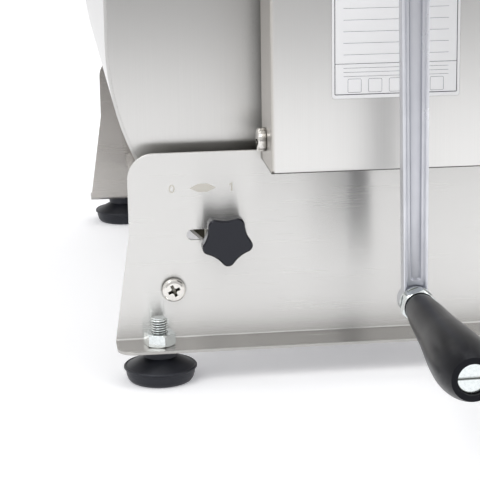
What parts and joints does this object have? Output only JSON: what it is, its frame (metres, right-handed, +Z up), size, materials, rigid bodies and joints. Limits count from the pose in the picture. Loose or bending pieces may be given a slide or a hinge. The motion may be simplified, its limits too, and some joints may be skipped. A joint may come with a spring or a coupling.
{
  "type": "manual meat mixer",
  "caption": "Hand cranked meat mixer: a tilting stainless tank with pitched paddles between two bent stands, geared down from the crank.",
  "frame": {"origin": "on the floor, under the middle of the machine's box", "axes": "+X across the tank, +Y along the tank from the crank end to the far end, +Z up"},
  "size_m": [0.2952, 0.5428, 0.3405],
  "materials": {
    "stand_stainless": "brushed along the sheet",
    "cover_stainless": "brushed upright",
    "tank_stainless": "brushed",
    "turned_stainless": "turned",
    "paddle_stainless": "satin",
    "bearing_bronze": "machined",
    "white_polymer": "machined",
    "seal_rubber": "moulded",
    "gear_steel": "hobbed and greased",
    "bright_screw": "polished stainless",
    "zinc_plated": "bright zinc",
    "cast_aluminium": "cast and tumbled",
    "grip_plastic": "moulded",
    "knob_plastic": "fine texture",
    "foot_rubber": "moulded"
  },
  "bodies": {
    "frame": {"crank_stand": "stand_stainless", "far_stand": "stand_stainless", "tie_rods": "turned_stainless", "tie_rod_screws": "bright_screw", "foot_locknuts": "zinc_plated", "crank_pivot_housing": "turned_stainless", "far_pivot_housing": "turned_stainless", "crank_pivot_bush": "bearing_bronze", "far_pivot_bush": "bearing_bronze", "crank_rear_housing": "turned_stainless", "crank_rear_bush": "bearing_bronze", "gear_cover": "cover_stainless", "cover_boss": "turned_stainless", "cover_bush": "bearing_bronze", "cover_screws": "bright_screw", "lock_guide": "turned_stainless"},
    "tank": {"tank_shell": "tank_stainless", "crank_end_plate": "tank_stainless", "far_end_plate": "tank_stainless", "tank_rim": "tank_stainless", "crank_trunnion": "turned_stainless", "far_trunnion": "turned_stainless", "drive_sleeve": "bearing_bronze", "shaft_seal": "seal_rubber", "far_spindle": "turned_stainless"},
    "lid": {"lid": "tank_stainless", "lid_handle": "turned_stainless", "lid_screws": "bright_screw"},
    "paddles": {"drive_stub": "turned_stainless", "paddle_gear": "gear_steel", "gear_key": "gear_steel", "gear_bolt": "zinc_plated", "paddle_shaft": "turned_stainless", "shaft_far_bush": "white_polymer", "drive_pin": "turned_stainless", "paddle_1": "paddle_stainless", "paddle_2": "paddle_stainless", "paddle_3": "paddle_stainless", "paddle_4": "paddle_stainless", "paddle_5": "paddle_stainless", "paddle_6": "paddle_stainless"},
    "crank": {"crank_shaft": "turned_stainless", "pinion": "gear_steel", "crank_arm": "cast_aluminium", "arm_bolt": "zinc_plated", "grip_spindle": "zinc_plated", "spindle_nut": "zinc_plated"},
    "grip": {"crank_grip": "grip_plastic"},
    "lock_slider": {"lock_wedge": "white_polymer", "lock_stud": "zinc_plated", "lock_washer": "zinc_plated"},
    "lock_knob": {"lock_knob": "knob_plastic"},
    "foot_1": {"foot_pad_1": "foot_rubber", "foot_stud_1": "zinc_plated"},
    "foot_2": {"foot_pad_2": "foot_rubber", "foot_stud_2": "zinc_plated"},
    "foot_3": {"foot_pad_3": "foot_rubber", "foot_stud_3": "zinc_plated"},
    "foot_4": {"foot_pad_4": "foot_rubber", "foot_stud_4": "zinc_plated"}
  },
  "joints": [
    {"name": "paddle_turn", "type": "hinge", "parent": "frame", "child": "paddles", "pos_m": [0, -0.0794, 0.1666], "axis": [0, 1, 0], "continuous": true},
    {"name": "crank_turn", "type": "hinge", "parent": "frame", "child": "crank", "pos_m": [0, -0.0794, 0.2326], "axis": [0, 1, 0], "continuous": true},
    {"name": "grip_spin", "type": "hinge", "parent": "crank", "child": "grip", "pos_m": [0.00156, -0.1674, 0.05401], "axis": [0, 1, 0], "continuous": true},
    {"name": "tank_tilt", "type": "hinge", "parent": "frame", "child": "tank", "pos_m": [0, -0.0794, 0.1666], "axis": [0, 1, 0], "range_deg": [-75, 75]},
    {"name": "lid_lift", "type": "slide", "parent": "tank", "child": "lid", "axis": [0, 0, 1], "range_m": [0, 0.16]},
    {"name": "lock_slide", "type": "slide", "parent": "frame", "child": "lock_slider", "axis": [1, 0, 0], "range_m": [-0.0158, 0]},
    {"name": "lock_knob_turn", "type": "hinge", "parent": "lock_slider", "child": "lock_knob", "pos_m": [-0.0803, -0.0794, 0.0716], "axis": [0, -1, 0], "range_deg": [0, 360]},
    {"name": "foot_1_level", "type": "slide", "parent": "frame", "child": "foot_1", "axis": [0, 0, 1], "range_m": [-0.006, 0]},
    {"name": "foot_2_level", "type": "slide", "parent": "frame", "child": "foot_2", "axis": [0, 0, 1], "range_m": [-0.006, 0]},
    {"name": "foot_3_level", "type": "slide", "parent": "frame", "child": "foot_3", "axis": [0, 0, 1], "range_m": [-0.006, 0]},
    {"name": "foot_4_level", "type": "slide", "parent": "frame", "child": "foot_4", "axis": [0, 0, 1], "range_m": [-0.006, 0]}
  ],
  "couplings": [
    {"joint": "crank_turn", "follows": "paddle_turn", "ratio": -2.6667}
  ]
}
